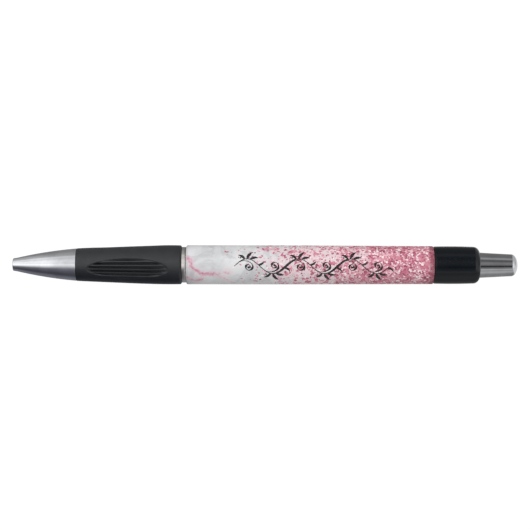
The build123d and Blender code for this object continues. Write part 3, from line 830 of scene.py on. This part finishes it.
def nib_halves(points, weight=1.0):
    """Half widths of a stroke as a broad pen draws it, thin at both ends."""
    halves = []
    for i, point in enumerate(points):
        ahead = Vector(points[min(i + 1, len(points) - 1)]) - Vector(points[max(i - 1, 0)])
        across = abs(sin(atan2(ahead.y, ahead.x) - NIB_ANGLE))
        from_end = min(i, len(points) - 1 - i) / len(points)
        width = NIB_THIN + (NIB_THICK - NIB_THIN) * (1 - across)
        halves.append(0.5 * weight * width * min(1, 0.2 + 8 * from_end))
    return halves


def blade(root, angle, length, width, bend):
    """A slim leaf from a root: its middle line and its half widths."""
    points, halves = [], []
    for t in np.linspace(0, 1, LEAF_POINTS):
        turned_by = angle + bend * t
        points.append((root[0] + length * t * cos(turned_by), root[1] + length * t * sin(turned_by)))
        halves.append(0.02 + width / 2 * sin(pi * t**0.8) ** 0.8)
    return points, halves


def berry(centre, radius):
    """A round dot, as a stroke as wide as it is long."""
    share = np.linspace(-1, 1, BERRY_POINTS)
    points = [(centre[0] + radius * t, centre[1]) for t in share]
    return points, [max(radius * (1 - t * t) ** 0.5, 0.01) for t in share]


def ribbon(bm, points, halves):
    """A stroke of ink as a thin closed strip on the film."""
    sections = []
    for i, (point, half) in enumerate(zip(points, halves)):
        ahead = Vector(points[min(i + 1, len(points) - 1)]) - Vector(points[max(i - 1, 0)])
        ahead.normalize()
        across = Vector((-ahead.y, ahead.x)) * half
        section = []
        for side, lift in ((1, INK_TOP), (-1, INK_TOP), (-1, INK_BOTTOM), (1, INK_BOTTOM)):
            x, height = Vector(point) + side * across
            radius = film_radius(x)
            angle = FACING - height / radius
            radius += lift
            section.append(bm.verts.new((x * MM, radius * cos(angle) * MM, radius * sin(angle) * MM)))
        sections.append(section)
    for section, following in zip(sections, sections[1:]):
        for k in range(4):
            j = (k + 1) % 4
            bm.faces.new((section[k], section[j], following[j], following[k]))
    bm.faces.new(sections[0])
    bm.faces.new(sections[-1])


flourish_mesh = bpy.data.meshes.new("printed_flourish")
ink = bmesh.new()
stem_points = [stem(bay) for bay in np.linspace(0, BAYS, STEM_POINTS)]
ribbon(ink, stem_points, nib_halves(stem_points, STEM_WEIGHT))
for bay in range(BAYS):
    side = -1 if bay % 2 else 1
    points = curl(bay, side)
    ribbon(ink, points, nib_halves(points))
    ribbon(ink, *berry(points[-1], BUD_R))
    for place, angle, length, width, bend in LEAVES:
        ribbon(ink, *blade(stem(bay + place), side * radians(angle), length, width, side * radians(bend)))
    for place, height, radius in BERRIES:
        ribbon(ink, *berry(Vector(stem(bay + place)) + Vector((0, side * height)), radius))
bmesh.ops.recalc_face_normals(ink, faces=ink.faces)
ink.to_mesh(flourish_mesh)
ink.free()
new_piece("printed_flourish", flourish_mesh, "barrel", INK, "printed_sleeve")

# ------------------------------------------------------------------ floor, light and camera
FLOOR_Z = cad_low.z
FLOOR_HALF = 6.0
WHITE_STRENGTH, SHADOW_SHARE = 1.05, 0.05
ARCH_R, ARCH_END, ARCH_STEPS = 250.0, 700.0, 96
LEFT_END, RIGHT_START, DOME_START = -22.0, 46.0, 145.0
SEAM_HALF = 3.0
scene = bpy.context.scene


def glow(s, value, low, high, bands):
    """A brightness that follows bands of (value, brightness)."""
    stops = [((at - low) / (high - low), (level,) * 3) for at, level in bands]
    return s.ramp(s.span(value, low, high, smooth=False), stops)


# What the mirror-like pieces see on the floor, by the place along Y between its two ends.
FLOOR_SPAN = (-90.0, 10.0)
FLOOR_BANDS = {
    "left": [
        (-90, 0.27), (-60, 0.25), (-28, 0.19), (-18, 0.14), (-13, 0.12),
        (-9, 0.085), (-6.5, 0.09), (-5.2, 0.15), (-3.5, 0.22), (10, 0.3),
    ],
    "middle": [(-90, 0.62), (-18, 0.62), (-5, 0.54), (10, 0.45)],
    "right": [
        (-90, 0.27), (-60, 0.3), (-34, 0.62), (-24, 0.5), (-18, 0.36), (-12, 0.46),
        (-9, 0.52), (-7, 0.42), (-5, 0.28), (-3, 0.27), (10, 0.3),
    ],
}
LEFT_TINT = (0.93, 0.95, 1.12)
# The floor behind the button's end glows, from a line that slants by END_SLANT.
END_GLOW, END_SLANT, END_START, END_FULL = 0.85, 0.3, 71.0, 74.0
# What they see overhead, by the angle up from the front horizon in degrees.
ARCH_BANDS = {
    "left": [
        (0, 0.32), (6, 0.46), (11, 0.64), (18, 0.92), (26, 1.14), (33, 1.2), (40, 0.98), (48, 1.05),
        (62, 1.02), (78, 0.78), (95, 0.84), (102, 0.56), (113, 0.46), (135, 0.38), (150, 0.3), (180, 0.3),
    ],
    "middle": [(0, 0.5), (30, 0.8), (60, 0.8), (100, 0.4), (130, 0.15), (180, 0.12)],
    "right": [
        (0, 0.27), (8, 0.17), (13, 0.04), (20, 0.03), (27, 0.14), (37, 0.25), (48, 0.27), (58, 0.22),
        (66, 0.13), (79, 0.14), (88, 0.36), (98, 0.4), (107, 0.22), (125, 0.19), (140, 0.2), (180, 0.22),
    ],
    "dome": [(0, 1.05), (38, 1.1), (60, 0.88), (80, 0.7), (120, 0.63), (180, 0.5)],
}
# How much brighter the overhead bands are beyond the point of the pen, and where that begins.
FAR_GAIN, FAR_FULL, FAR_START = 1.35, -172.0, -142.0


def floor_material():
    """White to the camera, with a faint shadow. Reflections see bands that model the metal."""
    s = Shader("studio_floor", Base_Color=(0.93, 0.93, 0.93, 1), Roughness=0.9)
    parts = s.add("ShaderNodeSeparateXYZ", Vector=s.mm)
    x, y = parts.outputs["X"], parts.outputs["Y"]
    bands = {name: glow(s, y, *FLOOR_SPAN, stops) for name, stops in FLOOR_BANDS.items()}
    tinted = s.vector("MULTIPLY", bands["left"], LEFT_TINT)
    seen = s.mix(s.span(x, LEFT_END - SEAM_HALF, LEFT_END + SEAM_HALF), tinted, bands["middle"])
    seen = s.mix(s.span(x, RIGHT_START - SEAM_HALF, RIGHT_START + SEAM_HALF), seen, bands["right"])
    beyond = s.math("ADD", x, s.math("MULTIPLY", y, END_SLANT))
    seen = s.mix(s.span(beyond, END_START, END_FULL), seen, (END_GLOW,) * 3)
    reflected = s.add("ShaderNodeEmission", Color=seen, Strength=1.0)
    white = s.add("ShaderNodeEmission", Color=(1, 1, 1, 1), Strength=WHITE_STRENGTH)
    shaded = s.add("ShaderNodeMixShader")
    s.set(shaded, {0: SHADOW_SHARE, 1: white.outputs[0], 2: s.surface.outputs[0]})
    path = s.add("ShaderNodeLightPath")
    mixed = s.add("ShaderNodeMixShader")
    s.set(mixed, {0: path.outputs["Is Camera Ray"], 1: reflected.outputs[0], 2: shaded.outputs[0]})
    s.tree.links.new(mixed.outputs[0], s.tree.nodes["Material Output"].inputs["Surface"])
    return s.material


def plane_mesh(name, half):
    """A level square, in metres."""
    mesh = bpy.data.meshes.new(name)
    corners = [(-half, -half, 0), (half, -half, 0), (half, half, 0), (-half, half, 0)]
    mesh.from_pydata(corners, [], [(0, 1, 2, 3)])
    return mesh


floor = bpy.data.objects.new("floor", plane_mesh("floor", FLOOR_HALF))
scene.collection.objects.link(floor)
floor.location.z = FLOOR_Z
floor.data.materials.append(floor_material())


def reflection_arch(name, x_low, x_high):
    """A half pipe over the pen that only reflections see, with the bands of its name."""
    mesh = bpy.data.meshes.new(name)
    vertices, faces = [], []
    for k in range(ARCH_STEPS + 1):
        angle = pi * k / ARCH_STEPS
        for x in (x_low, x_high):
            vertices.append((x * MM, -ARCH_R * MM * cos(angle), ARCH_R * MM * sin(angle) + FLOOR_Z))
    for k in range(ARCH_STEPS):
        faces.append((2 * k, 2 * k + 1, 2 * k + 3, 2 * k + 2))
    mesh.from_pydata(vertices, [], faces)
    s = Shader(name)
    parts = s.add("ShaderNodeSeparateXYZ", Vector=s.mm)
    front = s.math("MULTIPLY", parts.outputs["Y"], -1.0)
    turn = s.math("ARCTAN2", parts.outputs["Z"], front)
    degrees_up = s.math("MULTIPLY", turn, 180 / pi)
    gain = s.span(parts.outputs["X"], FAR_FULL, FAR_START, FAR_GAIN, 1.0, smooth=False)
    bands = glow(s, degrees_up, 0.0, 180.0, ARCH_BANDS[name])
    light = s.add("ShaderNodeEmission", Color=bands, Strength=gain)
    s.tree.links.new(light.outputs[0], s.tree.nodes["Material Output"].inputs["Surface"])
    mesh.materials.append(s.material)
    arch = bpy.data.objects.new(name + "_arch", mesh)
    scene.collection.objects.link(arch)
    arch.visible_camera = False
    arch.visible_diffuse = False
    arch.visible_shadow = False
    arch.visible_transmission = False


reflection_arch("left", -ARCH_END, LEFT_END)
reflection_arch("middle", LEFT_END, RIGHT_START)
reflection_arch("right", RIGHT_START, DOME_START)
reflection_arch("dome", DOME_START, ARCH_END)

SKY_STRENGTH = 0.5
world = bpy.data.worlds.new("studio")
scene.world = world
world.use_nodes = True
sky = world.node_tree
looks = sky.nodes.new("ShaderNodeLightPath")
strength = sky.nodes.new("ShaderNodeMapRange")
strength.inputs["To Min"].default_value = SKY_STRENGTH
strength.inputs["To Max"].default_value = 1.0
sky.links.new(looks.outputs["Is Camera Ray"], strength.inputs["Value"])
sky.links.new(strength.outputs["Result"], sky.nodes["Background"].inputs["Strength"])
sky.nodes["Background"].inputs["Color"].default_value = (1.0, 1.0, 1.0, 1)

KEY_DISTANCE, KEY_UP, KEY_POWER, KEY_SIZE = 0.9, radians(58), 4.6, 0.5
key = bpy.data.lights.new("key", "AREA")
key.shape = "SQUARE"
key.size = KEY_SIZE
key.energy = KEY_POWER
key_object = bpy.data.objects.new("key", key)
scene.collection.objects.link(key_object)
key_object.location = Vector((0, -cos(KEY_UP), sin(KEY_UP))) * KEY_DISTANCE
key_object.rotation_euler = (-key_object.location).to_track_quat("-Z", "Y").to_euler()
key_object.visible_glossy = False

CAMERA_DISTANCE, CAMERA_DROP, CAMERA_ROLL = 0.469, 0.00004, 0.0014
CAMERA_LENS, SENSOR_WIDTH = 113.2, 36.0
camera_data = bpy.data.cameras.new("camera")
camera_data.lens = CAMERA_LENS
camera_data.sensor_width = SENSOR_WIDTH
camera = bpy.data.objects.new("camera", camera_data)
scene.collection.objects.link(camera)
toward_camera = Vector((0, cos(FACING), sin(FACING)))
screen_up = Vector((0, sin(FACING), -cos(FACING)))
camera.location = toward_camera * CAMERA_DISTANCE - screen_up * CAMERA_DROP
aim = (-toward_camera).to_track_quat("-Z", "Y") @ Quaternion((0, 0, 1), CAMERA_ROLL)
camera.rotation_euler = aim.to_euler()
scene.camera = camera
scene.view_settings.view_transform = "Standard"
